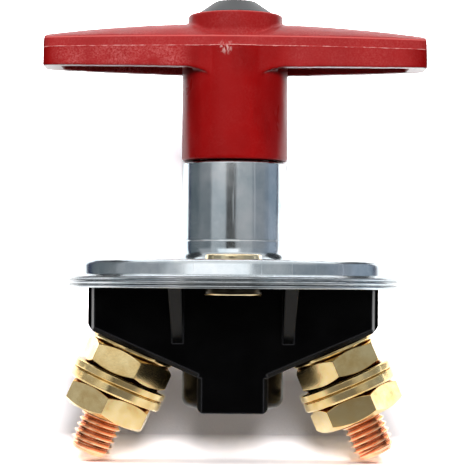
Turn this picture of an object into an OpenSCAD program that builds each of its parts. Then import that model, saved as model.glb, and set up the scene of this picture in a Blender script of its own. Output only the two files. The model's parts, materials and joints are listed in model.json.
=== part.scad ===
// Battery disconnect switch: a T handle on a steel guide tube turns a spindle, whose cross pin
// lifts a contact bridge off two copper terminal studs. Origin: centre of the cover's top face,
// +Z up along the handle's axis, the handle's wings and the two terminals along X,
// the two mounting holes along Y. Millimetres.

/* [Handle] */
// Overall span of the handle from tip to tip
handle_span = 90; // [78:1:110]
// Half depth of the wings at the hub, where their bowed sides begin
wing_half_depth = 11.2; // [10.8:0.1:11.8]
// Half depth of each wing at its tip, without the rounded corners
tip_half_depth = 5.8; // [5.5:0.1:8]
// Radius of the upright corners at the tips
tip_corner_r = 3; // [1.5:0.1:4]
// Radius of the upper corner at the tips
tip_top_r = 1.3; // [0.5:0.1:2]
// How far each end face leans in from its foot to the upper edge
tip_draft = 0.25; // [0:0.05:0.6]
// Height of the round skirt below the wings
skirt_h = 21.3; // [18:0.1:28]
// Rise of each wing's underside from the hub to the tip
under_rise = 0.6; // [0:0.1:2]
// Height of the wings' upright sides at the hub
side_h = 7.1; // [6:0.1:10]
// Depth of the crown's axis below the upper edge of the sides
crown_depth = 13.3; // [11:0.1:20]
// Depth of the skirt's top end below the upper edge, where the two mould halves met
parting_depth = 2.2; // [1:0.1:3]
// Wall thickness round the hollow of each wing
wing_wall = 2.8; // [2:0.1:3.5]
// Thickness of the end wall at each tip
tip_wall = 4.6; // [3:0.1:6]
// Thickness of the crown above each hollow
crown_wall = 2.4; // [1.8:0.1:3]
// Radius of the arch under each side of the hub
arch_r = 12.6; // [10:0.1:15]
// Radius of the round hub top
hub_top_r = 11.1; // [10.6:0.1:11.5]
// Height of the hub top above the upper edge of the sides
hub_top_h = 6; // [5:0.1:8]
// Height of the cap above the hub top
cap_h = 3.3; // [2.5:0.1:4.5]
// Radius of the cap's flat top
cap_top_r = 4.8; // [3:0.1:6]
// Radius of the cap's rim on the hub
cap_rim_r = 9.3; // [9:0.1:10]

/* [Guide tube] */
// Outer radius of the guide tube and of the handle's skirt
column_r = 12.4; // [11.8:0.1:14]
// Height of the guide tube above the cover
tube_h = 23; // [20:0.1:30]
// Wall thickness of the guide tube
tube_wall = 1.6; // [1.2:0.1:2]
// Gap between the tube and the handle's skirt
skirt_gap = 0.4; // [0.2:0.1:1]
// How far the flare at the tube's foot stands out
foot_flare = 1.2; // [0.4:0.1:1.4]
// Height of the turned line round the tube above the cover
line_z = 4.7; // [4:0.1:8]

/* [Cover] */
// How far the cover's upright wall stands out past the housing
cover_ledge = 2.9; // [2.6:0.1:4]
// Sheet thickness of the cover
cover_t = 1.2; // [0.8:0.1:1.5]
// Height of the cover's upright wall above the lip
cover_wall_h = 3.76; // [3:0.02:6]
// How far the folded lip stands out past the wall
lip_w = 2.4; // [1.6:0.1:3.5]
// Height of the folded lip
lip_h = 2.68; // [2.4:0.02:3.6]
// Number of sheet layers that show at the lip's edge
lip_layers = 3; // [2:1:4]
// Thickness of the gasket under the cover
gasket_t = 0.8; // [0.5:0.1:1]

/* [Mounting holes] */
// Distance between the two mounting holes along Y
hole_spacing = 58; // [54:0.5:60]
// Diameter of each mounting hole
hole_d = 6.5; // [5.5:0.1:7]
// Outer diameter of the eyelets' upper flanges
eyelet_top_d = 12.4; // [11:0.1:13]
// Outer diameter of the eyelets' lower flanges
eyelet_low_d = 13.4; // [11:0.1:14]
// Height of the eyelets above the cover
eyelet_proud = 1.2; // [0.8:0.1:1.6]

/* [Housing] */
// Radius of the housing's ends
body_r = 34; // [33:0.1:34.4]
// Half depth of the bar-shaped body
body_half_depth = 12; // [11.8:0.1:14]
// Height of the body's upright ends below the cover's top face
body_side_h = 14.7; // [13:0.1:15.5]
// Half width of the central box
box_half_w = 8.1; // [7:0.1:9.5]
// Depth of the central box below the cover's top face
box_depth = 35; // [34.8:0.1:38]
// Outer radius of the drum
drum_r = 11.9; // [11.5:0.1:11.9]
// How far the drum ends above the bottom of the box
drum_step = 0.7; // [0.3:0.1:2]
// Wall thickness of the housing
housing_wall = 3; // [2.5:0.1:3.2]
// Chamfer along the body's lower edges
edge_chamfer = 1; // [0.4:0.1:1.5]
// Distance of the gusset ribs' inner faces from the middle
gusset_x = 11.4; // [10.5:0.1:12]
// Thickness of the gusset ribs at the top
gusset_t = 3; // [2:0.1:3.5]
// Reach of the gusset ribs from the middle
gusset_reach = 30; // [26:0.5:32]
// Depth of the gusset ribs below the flange
gusset_h = 12.6; // [9:0.1:14]

/* [Terminals] */
// Distance of each terminal's seat from the housing's end
terminal_inset = 10.8; // [10.4:0.1:11.4]
// Depth of each terminal's seat below the cover's top face
seat_depth = 20.3; // [19.8:0.1:21]
// Outward tilt of the terminals and of the faces that they stand on
tilt = 23.5; // [22:0.1:25]
// Nominal diameter of the terminal studs
stud_d = 10; // [8:0.5:10.5]
// Depth of the studs' thread
thread_depth = 0.8; // [0.5:0.1:1]
// Length of each stud below its seat
stud_reach = 26.9; // [24:0.1:32]
// Chamfer at the tip of each stud
stud_chamfer = 1.1; // [0.5:0.1:1.5]
// Thickness of the housing under each stud's head
seat_wall = 5; // [4.5:0.1:5.5]
// Diameter of the studs' heads
head_d = 14; // [13:0.1:15]
// Thickness of the studs' heads
head_t = 2.5; // [2:0.1:3]
// Size of the hexagon nuts across the flats
nut_af = 19; // [16:0.5:19]
// Height of the hexagon nuts
nut_h = 6; // [5:0.1:7]
// Outer diameter of the thin washer against the housing
base_washer_d = 20; // [17:0.5:21]
// Thickness of the thin washer against the housing
base_washer_t = 1.2; // [0.8:0.1:1.6]
// Outer diameter of the flat washer between the nuts
washer_d = 23; // [19:0.5:23]
// Thickness of the flat washer between the nuts
washer_t = 2; // [1.5:0.1:2.5]
// Outer diameter of the split spring washer
spring_washer_d = 22.8; // [18:0.1:22.8]
// Thickness of the split spring washer
spring_washer_t = 2.4; // [1.8:0.1:2.6]
// Width of the slit in the spring washer
slit_w = 1.4; // [0.8:0.1:2]

/* [Mechanism] */
// Radius of the spindle
spindle_r = 6; // [5.5:0.1:6.4]
// Radius of the spindle's lower end, inside the contact carrier
spindle_end_r = 5; // [4:0.1:5.2]
// Size of the square drive between the spindle and the handle
square_w = 8.4; // [7.5:0.1:8.4]
// Angle through which the handle turns
turn = 90; // [60:5:90]
// Lift of the contact bridge when the handle is turned
lift = 3.5; // [2.5:0.1:3.8]
// Radius of the drive pin across the spindle
drive_pin_r = 1.25; // [1:0.05:1.4]
// Depth of the drive pin below the cover's top face
drive_pin_depth = 7.6; // [7.5:0.05:7.8]
// Outer radius of the contact carrier's sleeve
sleeve_r = 8; // [7.4:0.1:8.6]
// Thickness of the copper contact bridge
bridge_t = 2.5; // [2:0.1:2.6]
// Width of the contact bridge
bridge_w = 12; // [9:0.5:15]
// Reach of the contact bridge past the middle of each stud's head
bridge_reach = 5.8; // [4:0.1:6.8]
// Radius of the carrier's stem
stem_r = 3.5; // [3:0.1:3.6]
// Wire radius of the return spring
wire_r = 0.6; // [0.4:0.05:0.8]
// Number of turns of the return spring
spring_turns = 5; // [3:1:6]
// Length of each bearing bush
bush_l = 6; // [4:0.1:7]

/* [Fits] */
// Radial clearance of parts that turn or slide on each other
run_gap = 0.05; // [0.02:0.01:0.1]
// Radial clearance of parts that are put together once
fit_gap = 0.05; // [0.03:0.01:0.1]
// Radial clearance of the studs and eyelets in their holes
hole_gap = 0.15; // [0.1:0.05:0.3]
// Gap left between the closed contacts
contact_gap = 0.1; // [0.05:0.05:0.2]

/* [Hidden] */
$fn = 96;
EPS = 0.01;
LONG = 200;

// Colours of the materials
RED = [0.68, 0.09, 0.09];
CAP_GREY = [0.22, 0.23, 0.25];
ZINC = [0.74, 0.77, 0.79];
BLACK = [0.07, 0.07, 0.08];
GOLD = [0.80, 0.70, 0.42];
COPPER = [0.85, 0.53, 0.36];
STEEL = [0.60, 0.61, 0.62];
NYLON = [0.88, 0.86, 0.80];
RUBBER = [0.12, 0.12, 0.12];

// Levels of the handle, from the cover's top face up
skirt_z = tube_h + skirt_gap;
under_z = skirt_z + skirt_h;
edge_z = under_z + side_h;
hub_top_z = edge_z + hub_top_h;
crown_z = edge_z - crown_depth;
parting_z = edge_z - parting_depth;

// Plan of the handle: each side is an arc whose middle lies beyond the other side
side_bow = wing_half_depth - tip_half_depth;
side_r = (pow(handle_span / 2, 2) + pow(side_bow, 2)) / (2 * side_bow);
side_y = side_r - wing_half_depth;
function half_depth(x) = sqrt(pow(side_r, 2) - pow(x, 2)) - side_y;

// Arc of the crown along the handle: its radius about the crown's axis at the hub and at the tips
crown_mid_r = norm([crown_depth, wing_half_depth]);
crown_tip_r = norm([crown_depth, tip_half_depth]);
crown_sag = crown_mid_r - crown_tip_r;
crown_arc_r = (pow(handle_span / 2, 2) + pow(crown_sag, 2)) / (2 * crown_sag);

// Corner circles at the tips, which touch the end and the bowed side
corner_x = handle_span / 2 - tip_corner_r;
corner_y = sqrt(pow(side_r - tip_corner_r, 2) - pow(corner_x, 2)) - side_y;
touch_x = corner_x * side_r / (side_r - tip_corner_r);

// Levels of the screw and the square drive inside the hub
screw_seat_z = edge_z - 1.2;
socket_floor_z = screw_seat_z - 2;
square_z = socket_floor_z - 15;
screw_pocket_r = hub_top_r - 3.1;
screw_r = 2.5;
screw_head_r = 4.5;
screw_head_h = 3.2;
screw_l = 12;
screw_washer_t = 1;
cap_plug_l = 2.2;
cap_plug_wall = 1.5;
cap_rim_h = 0.2;
cap_round_r = 0.5;

// Cores in the skirt and arches under the hub
core_wall = 2.4;
core_rib_t = 2;
core_ring_r = spindle_r + run_gap + 2.1;
arch_lap = 0.4;
arch_end = 1.5;

// Cover, gasket and housing flange, from the cover's top face down
cover_r = body_r + cover_ledge;
wall_top_r = 1.2;
lip_top_z = -cover_wall_h;
lip_low_z = lip_top_z - lip_h;
cover_in_r = cover_r - cover_t;
gasket_z = -cover_t - gasket_t;
flange_r = cover_in_r - hole_gap;
return_r = body_r + 0.5;
return_top_z = lip_low_z + cover_t;
tube_in_r = column_r - tube_wall;
spigot_wall = 1;
spigot_r = tube_in_r + spigot_wall - 0.3;
staked_r = spigot_r + 1.6;
staked_t = 0.7;

// Eyelets
eyelet_y = hole_spacing / 2;
eyelet_wall = 1.2;
eyelet_body_r = hole_d / 2 + eyelet_wall;
eyelet_hole_r = eyelet_body_r + hole_gap;
eyelet_low_t = 1.5;

// Housing outside
terminal_x = body_r - terminal_inset;
seat_z = -seat_depth;
function seat_plane_z(x, inward = 0) = seat_z + inward / cos(tilt) + (x - terminal_x) * tan(tilt);
corner_cut = 1.9;
box_z = -box_depth;
drum_z = box_z + drum_step;
drum_round = 2.5;
box_round = 1.5;
gusset_t_low = gusset_t - 0.5;

// Housing inside
cavity_half_w = body_half_depth - housing_wall;
cavity_half_l = body_r - housing_wall - 1.5;
well_r = drum_r - housing_wall + 0.5;
well_floor_z = drum_z + housing_wall + 0.3;
spring_boss_h = 2;

// Terminal stack, along each stud's axis from its seat
inner_nut_s = base_washer_t;
washer_s = inner_nut_s + nut_h;
spring_washer_s = washer_s + washer_t;
outer_nut_s = spring_washer_s + spring_washer_t;
thread_s = outer_nut_s + nut_h;
stud_r = stud_d / 2;
shank_r = stud_r - thread_depth;
nut_bore_r = shank_r + fit_gap;
washer_bore_r = stud_r + 0.25;
stud_hole_r = stud_r + hole_gap;
washer_edge = 0.35;
// Turn of each nut about its stud, for left inner, left outer, right inner, right outer
NUT_TURNS = [12.4, -28.5, -22.7, 11.2];

// Spindle and its bearings
spindle_bore_r = spindle_r + run_gap;
upper_bush_z = tube_h - 0.2 - bush_l;
lower_bush_z = 1;
bush_flange_t = 1;
bush_flange_r = tube_in_r - 0.3;
bush_relief = 0.6;
clip_t = 1;
clip_r = spindle_r + 2;
clip_groove_r = spindle_r - 0.8;
clip_top_z = lower_bush_z - run_gap;
clip_mouth = 70;
seal_r = 0.9;
seal_ring_r = spindle_r - seal_r;
seal_groove_r = seal_ring_r - seal_r - fit_gap;
seal_z = upper_bush_z + bush_l / 2;
pin_z = -drive_pin_depth;
spindle_end_z = pin_z - drive_pin_r - 0.75;
pin_half_l = sleeve_r - 0.2;

// Contact carrier and bridge, with the contacts closed
bridge_flat_x = 10;
bridge_low_z = seat_plane_z(bridge_flat_x, seat_wall + head_t + contact_gap);
bridge_end_x = terminal_x - (seat_wall + head_t) * sin(tilt) + bridge_reach;
bridge_top_z = bridge_low_z + bridge_t;
contact_washer_t = 0.8;
carrier_z = bridge_top_z + contact_washer_t;
sleeve_floor = 1;
slot_gap = 0.15;
slot_steps = 12;
sleeve_top_z = pin_z + drive_pin_r + slot_gap + 1.2;
carrier_plate_t = 2.2;
carrier_plate_x = bridge_flat_x - 0.6;
carrier_plate_y = cavity_half_w - 0.3;
sleeve_bore_r = spindle_end_r + run_gap;
stem_clip_t = 1;
stem_clip_r = stem_r + 2.9;
stem_groove_r = stem_r - 0.7;
stem_l = 10;
spring_top_z = bridge_low_z - stem_clip_t;
spring_mean_r = stem_r + 1.9;

// Points of an arc about c from angle a0 to a1
function arc(c, r, a0, a1, n = 8) =
    [for (i = [0:n]) let (a = a0 + (a1 - a0) * i / n) c + r * [cos(a), sin(a)]];

// A profile in the XZ plane, extruded evenly to both sides of Y = 0
module across_y(half) {
    rotate([90, 0, 0]) linear_extrude(height = 2 * half, center = true) children();
}

// A profile in the YZ plane, extruded evenly to both sides of X = 0
module across_x(half) {
    rotate([90, 0, 90]) linear_extrude(height = 2 * half, center = true) children();
}

// Places its children on a terminal: local +Z runs outwards along the stud from its seat
module at_terminal(side) {
    translate([side * terminal_x, 0, seat_z]) rotate([0, side * (180 - tilt), 0]) children();
}

module at_eyelet(side) {
    translate([0, side * eyelet_y, 0]) children();
}

// Lens between the two bowed sides, set in evenly
module wing_lens(inset, half_l) {
    intersection() {
        translate([0, -side_y]) circle(r = side_r - inset, $fn = 720);
        translate([0, side_y]) circle(r = side_r - inset, $fn = 720);
        square([2 * half_l, 4 * wing_half_depth], center = true);
    }
}

// Outline of the wings seen from above, with rounded corners at the tips
module wing_plan() {
    wing_lens(0, touch_x);
    square([handle_span, 2 * corner_y], center = true);
    for (x = [-1, 1], y = [-1, 1]) translate([x * corner_x, y * corner_y])
        circle(r = tip_corner_r);
}

// The crowned top as a revolve about the handle's length: its arc meets the upper side edges
// at the hub and at the tips, so they stay all but level
module crown(inset = 0) {
    translate([0, 0, crown_z]) rotate([0, 90, 0]) rotate_extrude() intersection() {
        translate([crown_mid_r - crown_arc_r, 0]) circle(r = crown_arc_r - inset, $fn = 720);
        translate([0, -LONG / 2]) square([LONG, LONG]);
    }
}

// Web that carries the sides of the wings down onto the skirt in two arches
module hub_arches() {
    low_z = under_z - arch_r;
    difference() {
        translate([0, 0, low_z]) linear_extrude(height = arch_r + EPS)
            wing_lens(0, arch_r - arch_lap - arch_end);
        for (side = [-1, 1]) translate([side * (arch_r - arch_lap), 0, low_z])
            rotate([90, 0, 0]) cylinder(r = arch_r, h = LONG, center = true);
    }
}

// The hollow inside one wing, open below
module wing_hollow(side) {
    far_x = handle_span / 2 - tip_wall;
    intersection() {
        translate([0, 0, under_z - 1]) linear_extrude(height = side_h + 20) intersection() {
            difference() {
                wing_lens(wing_wall, far_x);
                circle(r = column_r);
            }
            translate([side * LONG / 2, 0]) square(LONG, center = true);
        }
        crown(crown_wall);
    }
}

// Narrow ring of cores in the skirt's foot, which keep the moulding's walls even
module skirt_cores() {
    depth = skirt_h * 0.6;
    difference() {
        cylinder(r = column_r - core_wall, h = depth);
        translate([0, 0, -1]) cylinder(r = core_ring_r, h = depth + 2);
        for (a = [45, 135]) rotate([0, 0, a]) cube([LONG, core_rib_t, 4 * depth], center = true);
    }
}

// Side view of the wings' right half: underside, leaning end face and rounded upper corner
function wing_side_view() = concat(
    [[0, under_z], [column_r, under_z], [handle_span / 2, under_z + under_rise]],
    arc([handle_span / 2 - tip_draft - tip_top_r, edge_z], tip_top_r, 0, 90),
    [[0, hub_top_z]]);

module handle() {
    color(RED) difference() {
        union() {
            translate([0, 0, skirt_z]) cylinder(r = column_r, h = parting_z - skirt_z);
            hub_arches();
            intersection() {
                translate([0, 0, under_z]) linear_extrude(height = LONG) wing_plan();
                across_y(LONG) for (side = [-1, 1]) scale([side, 1]) polygon(wing_side_view());
                crown();
            }
            translate([0, 0, edge_z - side_h / 2])
                cylinder(r = hub_top_r, h = hub_top_h + side_h / 2);
        }
        for (side = [-1, 1]) wing_hollow(side);
        translate([0, 0, skirt_z - EPS]) skirt_cores();
        translate([0, 0, skirt_z - 1]) cylinder(r = spindle_bore_r, h = square_z - skirt_z + 1);
        translate([0, 0, square_z - EPS]) linear_extrude(height = socket_floor_z - square_z)
            square(square_w + 2 * fit_gap, center = true);
        cylinder(r = screw_r + 0.2, h = LONG);
        translate([0, 0, screw_seat_z]) cylinder(r = screw_pocket_r, h = LONG);
    }
}

// Lid of the hub: a rim, a slope and a flat top, with a plug that snaps into the hub
module handle_cap() {
    plug_r = screw_pocket_r - fit_gap;
    top_z = hub_top_z + cap_h;
    slope = atan((cap_h - cap_rim_h) / (cap_rim_r - cap_top_r));
    round_x = cap_top_r - cap_round_r * tan(slope / 2);
    profile = concat(
        [[0, top_z]],
        arc([round_x, top_z - cap_round_r], cap_round_r, 90, 90 - slope, 4),
        [[cap_rim_r, hub_top_z + cap_rim_h],
         [cap_rim_r, hub_top_z], [plug_r, hub_top_z], [plug_r, hub_top_z - cap_plug_l],
         [plug_r - cap_plug_wall, hub_top_z - cap_plug_l], [plug_r - cap_plug_wall, hub_top_z],
         [0, hub_top_z]]);
    color(CAP_GREY) rotate_extrude() polygon(profile);
}

module handle_screw() {
    head_z = screw_seat_z + screw_washer_t;
    color(STEEL) difference() {
        union() {
            translate([0, 0, head_z - screw_l]) cylinder(r = screw_r, h = screw_l);
            translate([0, 0, head_z]) cylinder(r = screw_head_r, h = screw_head_h);
        }
        translate([0, 0, head_z + screw_head_h - 2]) cylinder(r = 2.3, h = 3, $fn = 6);
    }
}

module screw_washer() {
    color(STEEL) translate([0, 0, screw_seat_z]) difference() {
        cylinder(r = screw_pocket_r - 0.5, h = screw_washer_t);
        translate([0, 0, -1]) cylinder(r = screw_r + 0.2, h = screw_washer_t + 2);
    }
}

// Turned shaft with a square top for the handle and a thinner end for the carrier
module spindle() {
    top_z = socket_floor_z - 0.2;
    color(STEEL) difference() {
        union() {
            translate([0, 0, spindle_end_z]) cylinder(r = spindle_end_r, h = -spindle_end_z);
            cylinder(r = spindle_r, h = square_z - 0.1);
            translate([0, 0, square_z - 0.2]) linear_extrude(height = top_z - square_z + 0.2)
                square(square_w, center = true);
        }
        translate([0, 0, clip_top_z - clip_t - fit_gap]) groove(clip_groove_r, clip_t + 2 * fit_gap);
        translate([0, 0, seal_z - seal_r - fit_gap]) groove(seal_groove_r, 2 * (seal_r + fit_gap));
        translate([0, 0, pin_z]) rotate([0, 90, 0])
            cylinder(r = drive_pin_r + fit_gap, h = LONG, center = true);
        translate([0, 0, top_z - screw_l]) cylinder(r = screw_r + fit_gap, h = LONG);
    }
}

// Ring-shaped cut round the spindle
module groove(r, h) {
    difference() {
        cylinder(r = spindle_r + 1, h = h);
        translate([0, 0, -1]) cylinder(r = r, h = h + 2);
    }
}

module drive_pin() {
    color(STEEL) translate([0, 0, pin_z]) rotate([0, 90, 0])
        cylinder(r = drive_pin_r, h = 2 * pin_half_l, center = true);
}

// Flat open ring that is pushed sideways into a groove
module open_clip(groove_r, outer_r, t) {
    inner_r = groove_r + fit_gap;
    difference() {
        cylinder(r = outer_r, h = t);
        translate([0, 0, -1]) cylinder(r = inner_r, h = t + 2);
        translate([0, 0, -1]) linear_extrude(height = t + 2) polygon([[0, 0],
            LONG * [cos(clip_mouth / 2), sin(clip_mouth / 2)],
            LONG * [cos(clip_mouth / 2), -sin(clip_mouth / 2)]]);
    }
}

module retaining_clip() {
    color(STEEL) translate([0, 0, clip_top_z - clip_t])
        open_clip(clip_groove_r, clip_r, clip_t);
}

// Moulded bearing bush with a flange at its upper end
module bush(z) {
    outer_r = tube_in_r - fit_gap;
    color(NYLON) translate([0, 0, z]) difference() {
        cylinder(r = outer_r, h = bush_l);
        translate([0, 0, -1]) cylinder(r = spindle_bore_r, h = bush_l + 2);
        translate([0, 0, bush_flange_t]) difference() {
            cylinder(r = outer_r + 1, h = bush_l - 2 * bush_flange_t);
            cylinder(r = outer_r - bush_relief, h = bush_l);
        }
    }
}

module upper_bush() { bush(upper_bush_z); }
module lower_bush() { bush(lower_bush_z); }

module spindle_seal() {
    color(RUBBER) translate([0, 0, seal_z]) rotate_extrude()
        translate([seal_ring_r, 0]) circle(r = seal_r, $fn = 32);
}

// Drawn tube: flared foot on the cover, a spigot through it and a staked rim below
module guide_tube() {
    foot_h = 2.5 * foot_flare;
    chamfer = 0.4;
    line_depth = 0.15;
    flare = [for (i = [0:8]) let (s = i / 8)
        [column_r + foot_flare * pow(1 - s, 2), foot_h * s]];
    line = [for (i = [-1:1])
        [column_r - line_depth * (1 - abs(i)), line_z + line_depth * i]];
    outer = concat([[spigot_r, 0]], flare, line,
        [[column_r, tube_h - chamfer], [column_r - chamfer, tube_h], [tube_in_r, tube_h]]);
    inner = [[tube_in_r, lower_bush_z - 0.1], [spigot_r - spigot_wall, lower_bush_z - 0.1],
        [spigot_r - spigot_wall, -cover_t - staked_t], [staked_r, -cover_t - staked_t],
        [staked_r, -cover_t], [spigot_r, -cover_t]];
    color(ZINC) rotate_extrude() polygon(concat(outer, inner));
}

// Edge of the folded lip: one shallow bulge for each sheet layer, from the top down
function lip_edge() = [for (k = [0:lip_layers - 1], i = [0:6])
    let (layer_h = lip_h / lip_layers,
        a = 90 - 180 * i / 6,
        step_in = 0.3 * abs(k - (lip_layers - 1) / 2),
        mid_z = lip_top_z - layer_h * (k + 0.5))
    [cover_r + lip_w - 0.4 - step_in + 0.4 * cos(a), mid_z + layer_h * 0.46 * sin(a)]];

// Pressed cover: a shallow cup whose edge is folded out and crimped under the housing's flange
module mounting_cover() {
    outside = concat([[spigot_r + fit_gap, 0]],
        arc([cover_r - wall_top_r, -wall_top_r], wall_top_r, 90, 0),
        [[cover_r, lip_top_z + 0.4], [cover_r + 0.4, lip_top_z]], lip_edge());
    inside = [[return_r, lip_low_z], [return_r, return_top_z], [cover_in_r, return_top_z],
        [cover_in_r, -cover_t], [spigot_r + fit_gap, -cover_t]];
    color(ZINC) difference() {
        rotate_extrude() polygon(concat(outside, inside));
        for (side = [-1, 1]) at_eyelet(side)
            cylinder(r = eyelet_hole_r, h = LONG, center = true);
    }
}

module cover_gasket() {
    color(RUBBER) translate([0, 0, gasket_z]) difference() {
        cylinder(r = flange_r, h = gasket_t);
        translate([0, 0, -1]) cylinder(r = staked_r + 0.3, h = gasket_t + 2);
        cube([2 * cavity_half_l, 2 * cavity_half_w, 4], center = true);
        for (side = [-1, 1]) at_eyelet(side)
            cylinder(r = eyelet_hole_r, h = LONG, center = true);
    }
}

// Bar-shaped body between the two terminals, with its slanted seats and the central box
module housing_bar() {
    out_x = body_r - corner_cut;
    box_top_z = seat_plane_z(box_half_w);
    half = concat([[body_r, gasket_z], [body_r, -body_side_h],
        [out_x, seat_plane_z(out_x)], [box_half_w, box_top_z]],
        arc([box_half_w - box_round, box_z + box_round], box_round, 0, -90));
    far = len(half) - 1;
    outline = concat(half, [for (i = [far:-1:0]) [-half[i][0], half[i][1]]]);
    intersection() {
        across_y(body_half_depth) polygon(outline);
        translate([0, 0, box_z - 1]) cylinder(r = body_r, h = box_depth + 1);
    }
}

// Round drum round the well of the return spring
module housing_drum() {
    profile = concat([[0, gasket_z]], [[drum_r, gasket_z]],
        arc([drum_r - drum_round, drum_z + drum_round], drum_round, 0, -90), [[0, drum_z]]);
    rotate_extrude() polygon(profile);
}

// Ribs that carry the flange in front of and behind the bar, thinner towards their feet
module housing_gussets() {
    low_z = lip_low_z - gusset_h;
    side_view = [[body_half_depth - 1, lip_low_z + EPS], [gusset_reach, lip_low_z + EPS],
        [body_half_depth, low_z], [body_half_depth - 1, low_z]];
    front_view = [[gusset_x, lip_low_z + EPS], [gusset_x + gusset_t, lip_low_z + EPS],
        [gusset_x + gusset_t_low, low_z], [gusset_x, low_z]];
    for (x = [-1, 1], y = [-1, 1]) scale([x, y, 1]) intersection() {
        across_x(LONG) polygon(side_view);
        across_y(LONG) polygon(front_view);
    }
}

// Chamfers along the lower front and back edges of the bar and the upright edges of the box
module housing_chamfers() {
    w = edge_chamfer * sqrt(2);
    seat_l = (terminal_x - box_half_w) / cos(tilt);
    for (x = [-1, 1], y = [-1, 1]) {
        translate([x * terminal_x, y * body_half_depth, seat_z]) rotate([0, -x * tilt, 0])
            translate([x * (LONG / 2 - seat_l), 0, 0]) rotate([45, 0, 0])
                cube([LONG, w, w], center = true);
        translate([x * box_half_w, y * body_half_depth, seat_plane_z(box_half_w) - LONG / 2])
            rotate([0, 0, 45]) cube([w, w, LONG], center = true);
    }
}

// Room for the bridge, the well for the spring and the holes for studs and eyelets
module housing_inside() {
    top_z = gasket_z + 1;
    v_floor = [[-cavity_half_l, top_z], [-cavity_half_l, seat_plane_z(cavity_half_l, seat_wall)],
        [0, seat_plane_z(0, seat_wall)], [cavity_half_l, seat_plane_z(cavity_half_l, seat_wall)],
        [cavity_half_l, top_z]];
    across_y(cavity_half_w) polygon(v_floor);
    difference() {
        translate([0, 0, well_floor_z]) cylinder(r = well_r, h = -well_floor_z + top_z);
        translate([0, 0, well_floor_z - 1])
            cylinder(r = spring_mean_r - wire_r - 0.3, h = spring_boss_h + 1);
    }
    translate([0, 0, gasket_z - 0.5]) cylinder(r = staked_r + 0.3, h = 3);
    for (side = [-1, 1]) {
        at_terminal(side) cylinder(r = stud_hole_r, h = 4 * seat_wall, center = true);
        at_eyelet(side) cylinder(r = eyelet_hole_r, h = LONG, center = true);
    }
}

module base_housing() {
    color(BLACK) difference() {
        union() {
            translate([0, 0, return_top_z])
                cylinder(r = flange_r, h = gasket_z - return_top_z);
            translate([0, 0, lip_low_z]) cylinder(r = body_r, h = gasket_z - lip_low_z);
            housing_bar();
            housing_drum();
            housing_gussets();
        }
        housing_chamfers();
        housing_inside();
    }
}

// Hollow rivet through the cover, the gasket and the flange, rolled over at both ends
module eyelet() {
    bore_r = hole_d / 2;
    top_r = eyelet_top_d / 2;
    low_r = eyelet_low_d / 2;
    low_z = lip_low_z - eyelet_low_t;
    profile = concat([[bore_r, eyelet_proud]],
        arc([top_r - 0.5, eyelet_proud - 0.5], 0.5, 90, 0, 5),
        [[top_r, 0], [eyelet_body_r, 0], [eyelet_body_r, lip_low_z], [low_r, lip_low_z]],
        arc([low_r - 0.8, low_z + 0.8], 0.8, 0, -90, 5), [[bore_r, low_z]]);
    color(GOLD) rotate_extrude() polygon(profile);
}

module eyelet_front() { at_eyelet(-1) eyelet(); }
module eyelet_rear() { at_eyelet(1) eyelet(); }

// Path of the drive pin through the carrier's sleeve: a helix of pin-shaped cuts
module pin_track() {
    for (i = [0:slot_steps]) rotate([0, 0, turn * i / slot_steps])
        translate([0, 0, pin_z - lift * i / slot_steps]) rotate([0, 90, 0])
            cylinder(r = drive_pin_r + slot_gap, h = LONG, center = true);
}

// Insulating carrier: a sleeve round the spindle's end, a guide plate and a stem
module contact_carrier() {
    bore_z = carrier_z + sleeve_floor;
    color(BLACK) difference() {
        union() {
            translate([0, 0, carrier_z]) cylinder(r = sleeve_r, h = sleeve_top_z - carrier_z);
            translate([-carrier_plate_x, -carrier_plate_y, carrier_z])
                cube([2 * carrier_plate_x, 2 * carrier_plate_y, carrier_plate_t]);
            translate([0, 0, carrier_z - stem_l]) cylinder(r = stem_r, h = stem_l + EPS);
        }
        translate([0, 0, bore_z]) cylinder(r = sleeve_bore_r, h = LONG);
        translate([0, 0, bridge_low_z - stem_clip_t - fit_gap])
            groove(stem_groove_r, stem_clip_t + fit_gap);
        intersection() {
            pin_track();
            translate([0, 0, bore_z]) cylinder(r = sleeve_r + 1, h = LONG);
        }
    }
}

// Copper bar whose bent-up ends lie flat on the heads of the studs
module contact_bridge() {
    bend = bridge_t * tan(tilt / 2);
    low = [[bridge_flat_x, bridge_low_z],
        [bridge_end_x, bridge_low_z + (bridge_end_x - bridge_flat_x) * tan(tilt)]];
    top = [[bridge_end_x - bridge_t * sin(tilt), low[1][1] + bridge_t * cos(tilt)],
        [bridge_flat_x - bend, bridge_top_z]];
    half = concat(low, top);
    color(COPPER) difference() {
        across_y(bridge_w / 2)
            polygon(concat(half, [for (i = [3:-1:0]) [-half[i][0], half[i][1]]]));
        translate([0, 0, bridge_low_z - 1]) cylinder(r = stem_r + fit_gap, h = bridge_t + 2);
    }
}

module contact_washer() {
    color(STEEL) translate([0, 0, bridge_top_z]) difference() {
        cylinder(r = sleeve_r - 0.5, h = contact_washer_t);
        translate([0, 0, -1]) cylinder(r = stem_r + fit_gap, h = contact_washer_t + 2);
    }
}

module stem_clip() {
    color(STEEL) translate([0, 0, bridge_low_z - stem_clip_t])
        open_clip(stem_groove_r, stem_clip_r, stem_clip_t);
}

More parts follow.
